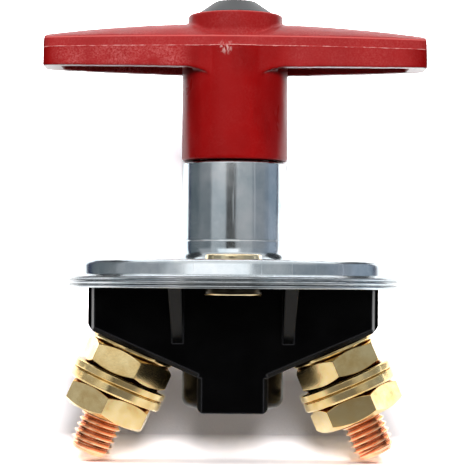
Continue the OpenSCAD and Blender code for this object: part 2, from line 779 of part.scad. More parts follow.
// Coil spring swept along a helix, one polyhedron
module return_spring() {
    steps = 20 * spring_turns;
    sides = 8;
    low_z = well_floor_z + wire_r + fit_gap;
    rise = spring_top_z - wire_r - fit_gap - low_z;
    pitch_angle = atan(rise / (spring_turns * 2 * PI * spring_mean_r));
    points = [for (i = [0:steps], k = [0:sides - 1])
        let (a = 360 * spring_turns * i / steps,
            w = 360 * k / sides,
            out = spring_mean_r + wire_r * cos(w),
            along = -wire_r * sin(w) * sin(pitch_angle))
        [out * cos(a) - along * sin(a), out * sin(a) + along * cos(a),
         low_z + rise * i / steps + wire_r * sin(w) * cos(pitch_angle)]];
    skin = [for (i = [0:steps - 1], k = [0:sides - 1])
        let (a = i * sides + k, b = i * sides + (k + 1) % sides)
        [a, a + sides, b + sides, b]];
    start = [for (k = [0:sides - 1]) k];
    end = [for (k = [sides - 1:-1:0]) steps * sides + k];
    color(STEEL) polyhedron(points, concat(skin, [start, end]));
}

// Stud with a round head on the inner seat: the thread's core up to the outer nut's far face,
// then full diameter to the chamfered tip
module stud(side) {
    color(COPPER) at_terminal(side) {
        translate([0, 0, -seat_wall - head_t]) cylinder(r = head_d / 2, h = head_t);
        translate([0, 0, -seat_wall]) cylinder(r = shank_r, h = seat_wall + thread_s);
        translate([0, 0, thread_s])
            cylinder(r = stud_r, h = stud_reach - thread_s - stud_chamfer);
        translate([0, 0, stud_reach - stud_chamfer])
            cylinder(r1 = stud_r, r2 = stud_r - stud_chamfer * 0.8, h = stud_chamfer);
    }
}

// Hexagon nut with chamfered corners at both ends
module hex_nut(turned) {
    corner_r = nut_af / sqrt(3);
    face_r = nut_af / 2 * 0.95;
    chamfer_h = (corner_r - face_r) * tan(30);
    color(GOLD) rotate([0, 0, turned]) difference() {
        intersection() {
            cylinder(r = corner_r, h = nut_h, $fn = 6);
            rotate_extrude() polygon([[0, 0], [face_r, 0], [corner_r, chamfer_h],
                [corner_r, nut_h - chamfer_h], [face_r, nut_h], [0, nut_h]]);
        }
        translate([0, 0, -1]) cylinder(r = nut_bore_r, h = nut_h + 2);
    }
}

module washer(d, t) {
    r = d / 2;
    color(GOLD) rotate_extrude() polygon([[washer_bore_r, 0], [r - washer_edge, 0],
        [r, washer_edge], [r, t - washer_edge], [r - washer_edge, t], [washer_bore_r, t]]);
}

// Split washer, cut through at a slant
module split_washer() {
    difference() {
        washer(spring_washer_d, spring_washer_t);
        rotate([0, 0, 130]) translate([spring_washer_d / 2, 0, spring_washer_t / 2])
            rotate([25, 0, 0]) cube([spring_washer_d, slit_w, 4 * spring_washer_t], center = true);
    }
}

module base_washer(side) { at_terminal(side) washer(base_washer_d, base_washer_t); }
module flat_washer(side) {
    at_terminal(side) translate([0, 0, washer_s]) washer(washer_d, washer_t);
}
module spring_washer(side) {
    color(GOLD) at_terminal(side) translate([0, 0, spring_washer_s]) split_washer();
}
module inner_nut(side, turned) {
    at_terminal(side) translate([0, 0, inner_nut_s]) hex_nut(turned);
}
module outer_nut(side, turned) {
    at_terminal(side) translate([0, 0, outer_nut_s]) hex_nut(turned);
}

handle();
handle_cap();
handle_screw();
screw_washer();
spindle();
drive_pin();
retaining_clip();
upper_bush();
lower_bush();
spindle_seal();
guide_tube();
mounting_cover();
cover_gasket();
base_housing();
eyelet_front();
eyelet_rear();
contact_carrier();
contact_bridge();
contact_washer();
stem_clip();
return_spring();
stud(-1);  // stud_left
base_washer(-1);  // base_washer_left
inner_nut(-1, NUT_TURNS[0]);  // inner_nut_left
flat_washer(-1);  // flat_washer_left
spring_washer(-1);  // spring_washer_left
outer_nut(-1, NUT_TURNS[1]);  // outer_nut_left
stud(1);  // stud_right
base_washer(1);  // base_washer_right
inner_nut(1, NUT_TURNS[2]);  // inner_nut_right
flat_washer(1);  // flat_washer_right
spring_washer(1);  // spring_washer_right
outer_nut(1, NUT_TURNS[3]);  // outer_nut_right
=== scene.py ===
# %% [markdown]
# # Battery disconnect switch
# A red T handle turns a spindle inside a zinc-plated tube. Below the round cover hangs a black moulded base with
# two slanted copper studs, each with two hexagon nuts and their washers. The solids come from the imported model,
# which this script loads as a fixed frame. Every piece made here is in metres, in the frame of that model:
# the origin is the centre of the cover's top face, +Z is the handle's axis and X runs through both terminals.

# %% Load the frame
import json
import math
import random

import bpy
import bmesh
from mathutils import Matrix, Vector


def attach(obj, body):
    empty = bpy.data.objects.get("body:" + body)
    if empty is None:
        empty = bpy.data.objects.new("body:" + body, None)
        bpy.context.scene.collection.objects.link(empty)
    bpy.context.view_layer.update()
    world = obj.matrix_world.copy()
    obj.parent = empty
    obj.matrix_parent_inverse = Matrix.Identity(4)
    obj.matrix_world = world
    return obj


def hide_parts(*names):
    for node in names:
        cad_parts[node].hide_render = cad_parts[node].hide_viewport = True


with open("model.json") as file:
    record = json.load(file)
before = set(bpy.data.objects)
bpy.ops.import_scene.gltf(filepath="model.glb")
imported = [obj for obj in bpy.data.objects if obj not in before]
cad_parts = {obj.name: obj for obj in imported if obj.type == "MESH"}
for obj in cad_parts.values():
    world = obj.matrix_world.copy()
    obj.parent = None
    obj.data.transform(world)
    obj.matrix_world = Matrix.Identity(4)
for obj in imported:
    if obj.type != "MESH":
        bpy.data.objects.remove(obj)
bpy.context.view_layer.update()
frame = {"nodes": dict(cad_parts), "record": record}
nodes = frame["nodes"]
MM = 0.001
print("nodes in the frame:", len(nodes))

# %% [markdown]
# ## Camera
# The photograph looks straight at the switch from the level of the cover's lip: the cover's top isn't seen and the
# handle is seen a little from below. The sag of the round edges gives a distance of about 450 mm. The camera is
# pitched up by 1.56 degrees, because the lip lies below the middle of the picture, and rolled by half a degree.

# %% Camera at the photograph's angle
CAMERA_DISTANCE = 450 * MM
CAMERA_HEIGHT = -6.03 * MM
CAMERA_ANGLE = math.radians(14.0)
PITCH = math.radians(1.557)
YAW = math.radians(-0.036)
ROLL = math.radians(0.46)
SENSOR = 36.0


def make_camera():
    data = bpy.data.cameras.new("camera")
    data.sensor_width = SENSOR
    data.lens = SENSOR / 2 / math.tan(CAMERA_ANGLE / 2)
    data.clip_start = 0.01
    data.clip_end = 50
    camera = bpy.data.objects.new("camera", data)
    level = Matrix.Rotation(YAW, 4, "Z") @ Matrix.Rotation(math.pi / 2 + PITCH, 4, "X")
    place = Matrix.Translation((0, -CAMERA_DISTANCE, CAMERA_HEIGHT))
    camera.matrix_world = place @ level @ Matrix.Rotation(ROLL, 4, "Z")
    bpy.context.scene.collection.objects.link(camera)
    bpy.context.scene.camera = camera
    return camera


camera = make_camera()
print("lens in mm:", round(camera.data.lens, 1))

# %% [markdown]
# ## Node helpers
# A material here is a tree of nodes built by code, which could also be drawn by hand in the shader editor. Code
# keeps the same tree the same each time. One helper fills a socket with a link or a plain value, and the others
# use it, so that a whole node takes one line. In a keyword, an underscore stands for the space in a socket's name.


# %% Nodes and sockets
def put(tree, socket, value):
    """Link the socket to another one, or give it a plain value."""
    if isinstance(value, bpy.types.NodeSocket):
        tree.links.new(value, socket)
    else:
        socket.default_value = value


def wire(tree, node, **inputs):
    for key, value in inputs.items():
        put(tree, node.inputs[key.replace("_", " ")], value)
    return node


def add(tree, kind, settings=None, **inputs):
    node = tree.nodes.new(kind)
    for key, value in (settings or {}).items():
        setattr(node, key, value)
    return wire(tree, node, **inputs)


def new_material(name):
    material = bpy.data.materials.new(name)
    material.use_nodes = True
    tree = material.node_tree
    return material, tree, tree.nodes["Principled BSDF"]


print("node helpers ready")

# %% [markdown]
# ## Masks
# Most marks on the real part sit at a known place: on the lip, along an edge, at the end of a wing. A mask is a
# value that is 1 there and 0 elsewhere. It is worked out from Object coordinates, so it stays on the piece when
# the piece turns. Masks are multiplied to make them narrower, and each one lets a layer of colour through.


# %% Sums, ranges and masks
def calculate(tree, operation, *values):
    node = add(tree, "ShaderNodeMath", {"operation": operation})
    for socket, value in zip(node.inputs, values):
        put(tree, socket, value)
    return node.outputs[0]


def times(tree, first, *others):
    for other in others:
        first = calculate(tree, "MULTIPLY", first, other)
    return first


def plus(tree, first, *others):
    for other in others:
        first = calculate(tree, "ADD", first, other)
    return first


def remap(tree, value, start, end, low=0.0, high=1.0):
    """Low at the start and before it, high at the end and after it, and even in between."""
    return add(tree, "ShaderNodeMapRange", Value=value, From_Min=start, From_Max=end,
               To_Min=low, To_Max=high).outputs["Result"]


def between(tree, value, low, high, soft):
    """1 where the value lies between low and high, with soft ends."""
    rise = remap(tree, value, low - soft, low + soft)
    fall = remap(tree, value, high - soft, high + soft)
    return calculate(tree, "SUBTRACT", rise, fall)


def split(tree, vector):
    return add(tree, "ShaderNodeSeparateXYZ", Vector=vector).outputs[:3]


print("mask helpers ready")

# %% [markdown]
# ## Noises and colours
# Metal and plastic are never quite even. A noise gives clouds, flow marks or, when it is stretched, scratches, and
# a ramp turns its value into a colour or a roughness. Colours are then laid on each other like coats of paint.
# A bevelled normal rounds the look of an edge, and a bump tilts the normal as a small relief would, both without
# a single new face.


# %% Noises and colours
def object_point(tree, scale=(1, 1, 1)):
    coordinates = add(tree, "ShaderNodeTexCoord").outputs["Object"]
    return add(tree, "ShaderNodeMapping", Vector=coordinates, Scale=scale).outputs["Vector"]


def noise(tree, point, scale, detail=3.0, roughness=0.5, distortion=0.0):
    return add(tree, "ShaderNodeTexNoise", Vector=point, Scale=scale, Detail=detail,
               Roughness=roughness, Distortion=distortion).outputs["Fac"]


def grey(value):
    return (value, value, value)


def ramp(tree, value, *stops):
    node = add(tree, "ShaderNodeValToRGB", Fac=value)
    elements = node.color_ramp.elements
    while len(elements) < len(stops):
        elements.new(0.5)
    for element, (place, colour) in zip(elements, stops):
        element.position = place
        element.color = (*colour, 1)
    return node.outputs["Color"]


def mix_colour(tree, factor, under, over, blend="MIX"):
    node = add(tree, "ShaderNodeMix", {"data_type": "RGBA", "blend_type": blend})
    for index, value in ((0, factor), (6, under), (7, over)):
        put(tree, node.inputs[index], (*value, 1) if isinstance(value, tuple) else value)
    return node.outputs[2]


def painted(tree, colour, *layers):
    """The colour with each layer, a mask and its paint, laid on the ones before."""
    for mask, paint in layers:
        colour = mix_colour(tree, mask, colour, paint)
    return colour


def soft_edges(tree, radius):
    return add(tree, "ShaderNodeBevel", {"samples": 6}, Radius=radius).outputs["Normal"]


def bump(tree, height, distance, normal=None):
    node = add(tree, "ShaderNodeBump", Height=height, Distance=distance)
    if normal is not None:
        put(tree, node.inputs["Normal"], normal)
    return node.outputs["Normal"]


print("colour helpers ready")

# %% [markdown]
# ## Regions of the red moulding
# The photograph shows the handle's red in several tones. The wings' tops are finely pitted and get a painted
# highlight of the light from above. The lower sides are pitted, and are painted paler towards the left as painted
# light on the faces that turn that way. The crisp edge of the crown and the hub's rim carry painted highlights.
# The flat rims round the hollows below get a near white painted reflection of the floor. Painting an image would
# do it too, but regions by height and distance stay exact at any size of picture.

# %% Regions of the handle
FLASH_Z = 49.6 * MM
WING_LOW_Z = 44.7 * MM
EDGE_Z = 51.8 * MM
HUB_LOW_Z = 53.6 * MM
HUB_TOP_Z = 57.8 * MM
ABOVE_ALL = 70 * MM
HUB_R = 11.8 * MM
SIDE_FROM, SIDE_TO = 12 * MM, 41 * MM
RIM_FROM, RIM_TO = 11.5 * MM, 46 * MM
EDGE_HALF = 0.14 * MM
# The pits, and with them a paler colour, grow towards the left: painted light on the wings' left faces.
PITS_AND_LIGHT_TURN = 10 * MM
PITS_AND_LIGHT_RIGHT = 0.25
HUB_PITS_AND_LIGHT_LOST = 0.55


def red_regions(tree, point):
    x, _, z = split(tree, point)
    out = calculate(tree, "ABSOLUTE", x)
    above_edge = between(tree, z, EDGE_Z, ABOVE_ALL, 0.15 * MM)
    on_hub = times(tree, between(tree, z, HUB_LOW_Z, ABOVE_ALL, 0.4 * MM),
                   between(tree, out, -1 * MM, HUB_R, 0.4 * MM))
    normal_z = split(tree, add(tree, "ShaderNodeNewGeometry").outputs["Normal"])[2]
    return {
        # the crown's top: pitted, and given a painted highlight
        "top": calculate(tree, "SUBTRACT", above_edge, times(tree, on_hub, HUB_PITS_AND_LIGHT_LOST)),
        "band": between(tree, z, FLASH_Z, EDGE_Z, 0.12 * MM),
        "side": times(tree, between(tree, out, SIDE_FROM, SIDE_TO, 2.5 * MM),
                      between(tree, z, WING_LOW_Z, FLASH_Z, 0.15 * MM)),
        # more pits and a paler colour towards the left: painted light on the left faces
        "pits_and_light_left": remap(tree, x, -PITS_AND_LIGHT_TURN, PITS_AND_LIGHT_TURN, 1.0, PITS_AND_LIGHT_RIGHT),
        # painted highlight along the crown's crisp edge
        "edge": between(tree, z, EDGE_Z - EDGE_HALF, EDGE_Z + EDGE_HALF, 0.08 * MM),
        # painted highlight round the hub's top rim
        "hub_rim": between(tree, z, HUB_TOP_Z - 0.35 * MM, HUB_TOP_Z + 0.3 * MM, 0.1 * MM),
        # painted reflection of the white floor on the flat rims below
        "below": times(tree, remap(tree, normal_z, -0.80, -0.95),
                       between(tree, out, RIM_FROM, RIM_TO, 0.5 * MM),
                       between(tree, z, WING_LOW_Z - 0.6 * MM, WING_LOW_Z + 1.0 * MM, 0.1 * MM)),
    }


print("crown's edge and flash line in mm:", EDGE_Z / MM, FLASH_Z / MM)

# %% [markdown]
# ## Red moulding
# The handle is a hard red plastic with a fairly glossy skin. Where the mould was rough the skin is finely pitted
# and paler. A large slow noise gives the flow marks of the moulding, a fine one gives the pits, and both also
# drive the roughness and a faint bump. On top lie the painted highlights, the paler pits on the left as painted
# light and the rims' painted reflection. The front of the hub has one small rubbed spot.

# %% Red moulded plastic
DEEP_RED, PLAIN_RED = (0.250, 0.0008, 0.0010), (0.350, 0.0022, 0.0026)
# The top's lighter red is a painted highlight; the pitted red is the pits' own tone.
TOP_LIGHT_RED, SIDE_RED, PITTED_RED = (0.52, 0.045, 0.045), (0.56, 0.05, 0.05), (0.80, 0.22, 0.21)
# Painted highlights of the crown's edge and of the hub's rim.
EDGE_HIGHLIGHT_RED, RIM_HIGHLIGHT_RED = (0.80, 0.17, 0.16), (0.72, 0.10, 0.09)
# The rims' near white pink is a painted reflection of the floor; the rubbed pink is wear.
RUBBED_PINK, RIM_REFLECTION_PINK = (0.85, 0.55, 0.52), (0.95, 0.72, 0.72)
RUBBED_SPOT = (-2.2 * MM, -12.0 * MM, 49.2 * MM)
RUBBED_OUTER, RUBBED_INNER = 2.2 * MM, 0.6 * MM
FEW_PITS = 0.035
SKIN_BUMP = 0.06 * MM


def rubbed_spot(tree, point):
    away = add(tree, "ShaderNodeVectorMath", {"operation": "DISTANCE"})
    put(tree, away.inputs[0], point)
    put(tree, away.inputs[1], RUBBED_SPOT)
    near = remap(tree, away.outputs["Value"], RUBBED_OUTER, RUBBED_INNER)
    streak = noise(tree, object_point(tree, (1.5, 1, 0.6)), 1500, detail=3)
    return times(tree, near, remap(tree, streak, 0.5, 0.6))


def red_moulding():
    material, tree, shader = new_material("red_moulding")
    point = object_point(tree)
    flow = noise(tree, object_point(tree, (1, 1, 0.45)), 110, detail=4, distortion=0.8)
    pits = noise(tree, point, 2300, detail=3, roughness=0.65)
    patch = noise(tree, object_point(tree, (0.5, 1, 1)), 260, detail=4, roughness=0.6)
    grain = times(tree, remap(tree, pits, 0.38, 0.66), remap(tree, patch, 0.32, 0.62))
    on = red_regions(tree, point)
    # more pits on the left side of the wings: painted light on their left faces
    pitted = plus(tree, times(tree, on["side"], on["pits_and_light_left"], 0.55), times(tree, on["top"], 0.25),
                  times(tree, on["band"], 0.15))
    pitted = calculate(tree, "MAXIMUM", pitted, FEW_PITS)
    # Painted light in these layers: the top's highlight, the paler pits on the left, the edge and rim highlights
    # and the rims' reflection.
    colour = painted(
        tree, ramp(tree, flow, (0.30, DEEP_RED), (0.72, PLAIN_RED)),
        (times(tree, on["top"], 0.45), TOP_LIGHT_RED), (times(tree, on["band"], 0.40), SIDE_RED),
        (times(tree, on["side"], 0.35), SIDE_RED), (times(tree, pitted, grain), PITTED_RED),
        (times(tree, rubbed_spot(tree, point), 0.7), RUBBED_PINK), (times(tree, on["edge"], 0.75), EDGE_HIGHLIGHT_RED),
        (times(tree, on["hub_rim"], 0.5), RIM_HIGHLIGHT_RED), (on["below"], RIM_REFLECTION_PINK))
    gloss = ramp(tree, flow, (0.3, grey(0.24)), (0.75, grey(0.36)))
    wire(tree, shader, Base_Color=colour, Roughness=mix_colour(tree, pitted, gloss, grey(0.6)),
         Specular_IOR_Level=remap(tree, on["below"], 0.0, 1.0, 0.14, 1.0),
         Normal=bump(tree, plus(tree, flow, times(tree, pits, 0.2)), SKIN_BUMP))
    return material


RED = red_moulding()
print("made", RED.name)

# %% [markdown]
# ## Red flash
# The thin line of flash on the handle's sides is the same plastic, but torn and rough, so it scatters more light.
# A noise runs it from red to pale pink.


# %% Flash material
def flash_material():
    material, tree, shader = new_material("red_flash")
    patch = noise(tree, object_point(tree), 700, detail=3)
    wire(tree, shader, Base_Color=ramp(tree, patch, (0.40, (0.60, 0.07, 0.07)), (0.60, (0.90, 0.42, 0.40))),
         Roughness=0.5)
    return material


FLASH = flash_material()
print("made", FLASH.name)

# %% [markdown]
# ## Grey, black and nylon plastics
# The cap, the base, the bushes and the seals differ in colour, gloss and grain but have the same kind of skin, so
# one function makes them all. The black base has pale edges, a painted highlight. They are found by comparing the
# bevelled normal with the face's own one: the two only differ near an edge. The base's rounded ends are dull,
# because in the photograph they don't mirror the white behind them.

# %% Plain moulded plastics
MOULD_EDGE = 0.5 * MM
SPECK_BUMP = 0.006 * MM
DULL_FROM, DULL_TO = 31.8 * MM, 32.6 * MM
BASE_SHINE = 0.08


# Painted highlight along the edges: 1 where the bevelled normal leaves the face's own one.
def painted_edge_glint(tree, rounded):
    along = add(tree, "ShaderNodeVectorMath", {"operation": "DOT_PRODUCT"})
    put(tree, along.inputs[0], rounded)
    put(tree, along.inputs[1], add(tree, "ShaderNodeNewGeometry").outputs["True Normal"])
    return remap(tree, along.outputs["Value"], 0.995, 0.93)


def moulded_plastic(name, dark, pale, roughness, grain=900, specular=0.4, edge_glint=None):
    material, tree, shader = new_material(name)
    point = object_point(tree)
    cloud = noise(tree, point, 160, detail=4)
    rounded = soft_edges(tree, MOULD_EDGE)
    colour = ramp(tree, cloud, (0.35, dark), (0.75, pale))
    if edge_glint:
        colour = mix_colour(tree, painted_edge_glint(tree, rounded), colour, edge_glint)
    wire(tree, shader, Base_Color=colour, Specular_IOR_Level=specular,
         Roughness=ramp(tree, cloud, (0.3, grey(roughness - 0.05)), (0.8, grey(roughness + 0.08))),
         Normal=bump(tree, noise(tree, point, grain, detail=2), SPECK_BUMP, rounded))
    return material


def black_moulding():
    # The pale colour along the edges is a painted highlight.
    material = moulded_plastic("black_moulding", (0.0004, 0.0004, 0.0005), (0.0012, 0.0012, 0.0014), 0.2,
                               edge_glint=(0.040, 0.040, 0.044))
    tree = material.node_tree
    out = calculate(tree, "ABSOLUTE", split(tree, object_point(tree))[0])
    wire(tree, tree.nodes["Principled BSDF"],
         Specular_IOR_Level=remap(tree, out, DULL_FROM, DULL_TO, BASE_SHINE, 0.0))
    return material


CAP = moulded_plastic("grey_cap", (0.022, 0.025, 0.028), (0.036, 0.039, 0.044), 0.42, specular=0.25)
BLACK = black_moulding()
NYLON = moulded_plastic("nylon", (0.62, 0.60, 0.53), (0.72, 0.70, 0.64), 0.5)
SEAL = moulded_plastic("seal_rubber", grey(0.012), grey(0.022), 0.7, grain=2500)
print("plastics:", CAP.name, BLACK.name, NYLON.name, SEAL.name)

# %% [markdown]
# ## Marks on the zinc plate
# The cover's lip is folded and crimped from thin sheet, so dark lines run round it between its layers. Its ends
# are darker than the rest, and its front middle is dark and ragged, a painted reflection of the dark side where
# the camera stands. Real grooves would need a very fine mesh, so masks colour them instead. The scratches are
# stretched noises, kept only where they are strongest.

# %% Scratches and lip
LIP_TOP_Z = -3.76 * MM
LIP_LOW_Z = -8 * MM
LIP_FOLDS = 2.6 * MM
LIP_LAYER = 0.893 * MM
ENDS_CENTRE = 2 * MM
ENDS_FROM, ENDS_TO = 30 * MM, 36 * MM
# The lip's front middle between these gets a painted reflection of the dark camera side.
MIDDLE_FROM, MIDDLE_TO = -9.5 * MM, 7.5 * MM
RAGGED = 3 * MM


def scratches(tree, angle, scale, sharp):
    stretched = add(tree, "ShaderNodeMapping", Vector=add(tree, "ShaderNodeTexCoord").outputs["Object"],
                    Rotation=(0.3, angle, 0.7 * angle), Scale=(scale, scale * 0.4, scale * 0.022))
    lines = noise(tree, stretched.outputs["Vector"], 1.0, detail=2, roughness=0.7)
    return ramp(tree, lines, (sharp, grey(0)), (sharp + 0.05, grey(1)))


def lip_marks(tree, point):
    """Masks of the grooves, the darker ends and the middle of the lip, where a dark reflection is painted."""
    x, y, z = split(tree, point)
    layer = calculate(tree, "DIVIDE", calculate(tree, "SUBTRACT", z, LIP_TOP_Z), LIP_LAYER)
    layer = plus(tree, layer, times(tree, noise(tree, point, 300, detail=3), 0.35))
    groove = remap(tree, calculate(tree, "PINGPONG", layer, 0.5), 0.16, 0.04)
    folded = between(tree, z, LIP_TOP_Z - LIP_FOLDS, LIP_TOP_Z + 0.3 * MM, 0.05 * MM)
    on_lip = between(tree, z, LIP_LOW_Z, LIP_TOP_Z, 0.1 * MM)
    out = calculate(tree, "ABSOLUTE", calculate(tree, "SUBTRACT", x, ENDS_CENTRE))
    across = plus(tree, x, times(tree, noise(tree, point, 420, detail=4), RAGGED))
    front = calculate(tree, "LESS_THAN", y, 0.0)
    return (times(tree, groove, folded), times(tree, remap(tree, out, ENDS_FROM, ENDS_TO), on_lip),
            times(tree, between(tree, across, MIDDLE_FROM, MIDDLE_TO, 1.5 * MM), front, on_lip))


print("lip's layers in mm:", round(LIP_LAYER / MM, 2))

# %% [markdown]
# ## Relief of the zinc plate
# The pressed wall of the cover leans by its draft angle and isn't quite even, which a bump imitates: a height
# that grows evenly along Z tilts the normal by a fixed angle, and a slow noise on top makes the reflections
# waver. Scratches, a fine grain and the turned line near the tube's foot make a second, much smaller bump.

# %% Relief of the plate
WALL_DRAFT = math.tan(math.radians(7))
WALL_LOW_Z, WALL_TOP_Z = -3.6 * MM, -0.9 * MM
WAVE_HEIGHT = 0.06 * MM
PLATE_BUMP = 0.02 * MM
PLATE_EDGE = 0.3 * MM


def plate_normal(tree, point, marks, line):
    z = split(tree, point)[2]
    grain = noise(tree, object_point(tree, (1, 1, 0.25)), 900, detail=3)
    height = plus(tree, times(tree, grain, 0.5), times(tree, marks, 0.6))
    height = calculate(tree, "SUBTRACT", height, times(tree, line, 2.0))
    wall = add(tree, "ShaderNodeClamp", Value=z, Min=WALL_LOW_Z, Max=WALL_TOP_Z).outputs["Result"]
    wave = noise(tree, object_point(tree, (1, 1, 0.3)), 120, detail=2)
    wavy = times(tree, wave, between(tree, z, -9 * MM, 0.2 * MM, 0.2 * MM), WAVE_HEIGHT)
    fine = bump(tree, height, PLATE_BUMP, soft_edges(tree, PLATE_EDGE))
    return bump(tree, plus(tree, times(tree, wall, -WALL_DRAFT), wavy), 1.0, fine)


print("tangent of the wall's draft:", round(WALL_DRAFT, 3))

# %% [markdown]
# ## Zinc plate
# The tube and the cover are bright zinc plate: a metal with a bluish cast and cloudy patches left by the bath. The
# marks from above are laid on that colour, and the same clouds drive the roughness.

# %% Zinc-plated steel
TURNED_LINE_Z = 4.7 * MM
TURNED_LINE_HALF = 0.12 * MM
# The middle grey is a painted reflection of the dark side where the camera stands.
GROOVE_GREY, END_GREY, CAMERA_REFLECTION_GREY = (0.05, 0.05, 0.055), (0.25, 0.26, 0.27), (0.09, 0.085, 0.08)
SCRATCH_GREY = (0.86, 0.88, 0.90)


def zinc_plate():
    material, tree, shader = new_material("zinc_plate")
    point = object_point(tree)
    cloud = noise(tree, point, 95, detail=5, roughness=0.6)
    tint = ramp(tree, cloud, (0.32, (0.42, 0.49, 0.53)), (0.52, (0.56, 0.61, 0.64)), (0.72, (0.70, 0.72, 0.74)))
    marks = mix_colour(tree, 1.0, scratches(tree, 0.75, 900, 0.665), scratches(tree, -1.2, 700, 0.68), "ADD")
    groove, ends, middle = lip_marks(tree, point)
    line = between(tree, split(tree, point)[2], TURNED_LINE_Z - TURNED_LINE_HALF,
                   TURNED_LINE_Z + TURNED_LINE_HALF, 0.04 * MM)
    colour = painted(
        tree, tint, (mix_colour(tree, 1.0, marks, grey(0.45), "MULTIPLY"), SCRATCH_GREY),
        (times(tree, groove, 0.9), GROOVE_GREY), (times(tree, ends, 0.65), END_GREY),
        # painted reflection of the dark camera side on the lip's front middle
        (times(tree, middle, 0.42), CAMERA_REFLECTION_GREY), (times(tree, line, 0.8), grey(0.95)))
    wire(tree, shader, Base_Color=colour, Metallic=1.0,
         Roughness=ramp(tree, cloud, (0.3, grey(0.12)), (0.7, grey(0.20))),
         Normal=plate_normal(tree, point, marks, line))
    return material


ZINC = zinc_plate()
print("made", ZINC.name)

# %% [markdown]
# ## Yellow nuts, copper studs and plain steel
# The yellow passivated nuts and washers, the copper studs and the steel inside are metals with a slightly uneven
# colour, so one function serves them. Each gets two tints, which a cloudy noise blends. Bevelled normals give
# every edge the thin bright line of the photograph. Corners and thread grooves get painted shade, a darker colour
# where the Ambient Occlusion node finds them: it tells which share of the sky a point sees.

# %% Coloured metals
CREVICE_REACH = 1.4 * MM
METAL_BUMP = 0.02 * MM


# Painted shade: a mask of corners and grooves that see little of the sky.
def crevice_shade(tree, shallow, deep):
    """0 where a point sees the share of sky called shallow or more, 1 where it sees deep or less."""
    sky = add(tree, "ShaderNodeAmbientOcclusion", {"samples": 8}, Distance=CREVICE_REACH).outputs["AO"]
    return remap(tree, sky, shallow, deep)


def tinted_metal(name, dull, bright, roughness, edge=0.25 * MM, crevice_shade_colour=None, shallow=0.72, deep=0.18):
    material, tree, shader = new_material(name)
    point = object_point(tree)
    cloud = noise(tree, point, 240, detail=5, roughness=0.6)
    grain = noise(tree, point, 2400, detail=2)
    colour = ramp(tree, cloud, (0.32, dull), (0.68, bright))
    if crevice_shade_colour:
        colour = mix_colour(tree, crevice_shade(tree, shallow, deep), colour, crevice_shade_colour)
    wire(tree, shader, Base_Color=colour, Metallic=1.0,
         Roughness=ramp(tree, cloud, (0.3, grey(roughness + 0.06)), (0.7, grey(roughness - 0.05))),
         Normal=bump(tree, plus(tree, cloud, times(tree, grain, 0.3)), METAL_BUMP, soft_edges(tree, edge)))
    return material


# The dark colours given last are painted shade in corners and thread grooves.
GOLD = tinted_metal("gold_nut", (0.72, 0.50, 0.20), (0.95, 0.76, 0.40), 0.18, crevice_shade_colour=(0.30, 0.12, 0.03))
COPPER = tinted_metal("copper", (0.90, 0.42, 0.23), (1.0, 0.70, 0.48), 0.14, edge=0.12 * MM,
                      crevice_shade_colour=(0.32, 0.07, 0.025), shallow=0.82, deep=0.30)
STEEL = tinted_metal("plain_steel", (0.40, 0.40, 0.41), (0.55, 0.55, 0.56), 0.3)
print("metals:", GOLD.name, COPPER.name, STEEL.name)

# %% [markdown]
# ## Brass eyelets
# Two hollow rivets of brass go through the cover. Their lower flange is painted nearly black as painted shadow of
# the cover's lip, apart from its lower edge, which shows in the photograph as a thin gold line under the cover's
# lip.

# %% Brass eyelets
LIP_SHADOW_LOW_Z, LIP_SHADOW_TOP_Z = -7.62 * MM, -6.0 * MM


def eyelet_brass():
    material = tinted_metal("eyelet_brass", (0.70, 0.55, 0.30), (0.92, 0.82, 0.58), 0.2)
    tree = material.node_tree
    shader = tree.nodes["Principled BSDF"]
    # Painted shadow of the cover's lip on the lower flange, nearly black.
    lip_shadow = between(tree, split(tree, object_point(tree))[2], LIP_SHADOW_LOW_Z, LIP_SHADOW_TOP_Z, 0.06 * MM)
    clear = shader.inputs["Base Color"].links[0].from_socket
    wire(tree, shader, Base_Color=mix_colour(tree, times(tree, lip_shadow, 0.97), clear, (0.010, 0.008, 0.006)))
    return material


EYELET = eyelet_brass()
print("made", EYELET.name)

# %% [markdown]
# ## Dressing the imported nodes
# Most nodes already have the right shape, so they keep their mesh and only get a better material. The record says
# which finish each node has, and this table leads from that finish to the material above.

# %% Assign materials to the nodes
FINISHES = {"red_moulding": RED, "grey_cap": CAP, "black_moulding": BLACK, "nylon": NYLON, "seal_rubber": SEAL,
            "zinc_plate": ZINC, "gold_nut": GOLD, "eyelet_brass": EYELET, "copper": COPPER, "plain_steel": STEEL}


def set_material(piece, material):
    piece.data.materials.clear()
    piece.data.materials.append(material)


for row in frame["record"]["subparts"]:
    set_material(nodes[row["node"]], FINISHES[row["material_slot"]])

# %% [markdown]
# ## Mesh helpers
# A modifier only shows its result. To keep that result as a plain mesh, the evaluated object is turned into a new
# mesh, which then takes the place of the old one. Each new mesh becomes an object at the origin.


# %% Meshes and objects
def link(name, mesh):
    piece = bpy.data.objects.new(name, mesh)
    bpy.context.scene.collection.objects.link(piece)
    return piece


def apply_modifiers(piece):
    graph = bpy.context.evaluated_depsgraph_get()
    mesh = bpy.data.meshes.new_from_object(piece.evaluated_get(graph))
    mesh.name = piece.name
    piece.modifiers.clear()
    piece.data = mesh


def mesh_of(work, name):
    """A plain mesh from the bmesh, which is freed."""
    mesh = bpy.data.meshes.new(name)
    work.to_mesh(mesh)
    work.free()
    return mesh


def shade_smooth(piece):
    for face in piece.data.polygons:
        face.use_smooth = True


print("mesh helpers ready")

# %% [markdown]
# ## Handle
# The moulding has soft edges and small fillets everywhere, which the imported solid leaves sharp. A copy of the
# solid is remeshed with fine voxels, which rounds each edge by about a voxel, and then smoothed a little. Bevels
# on every edge would fail where the crown, the arches and the hub run into each other. The copy is thinned out
# at the end to stay light.

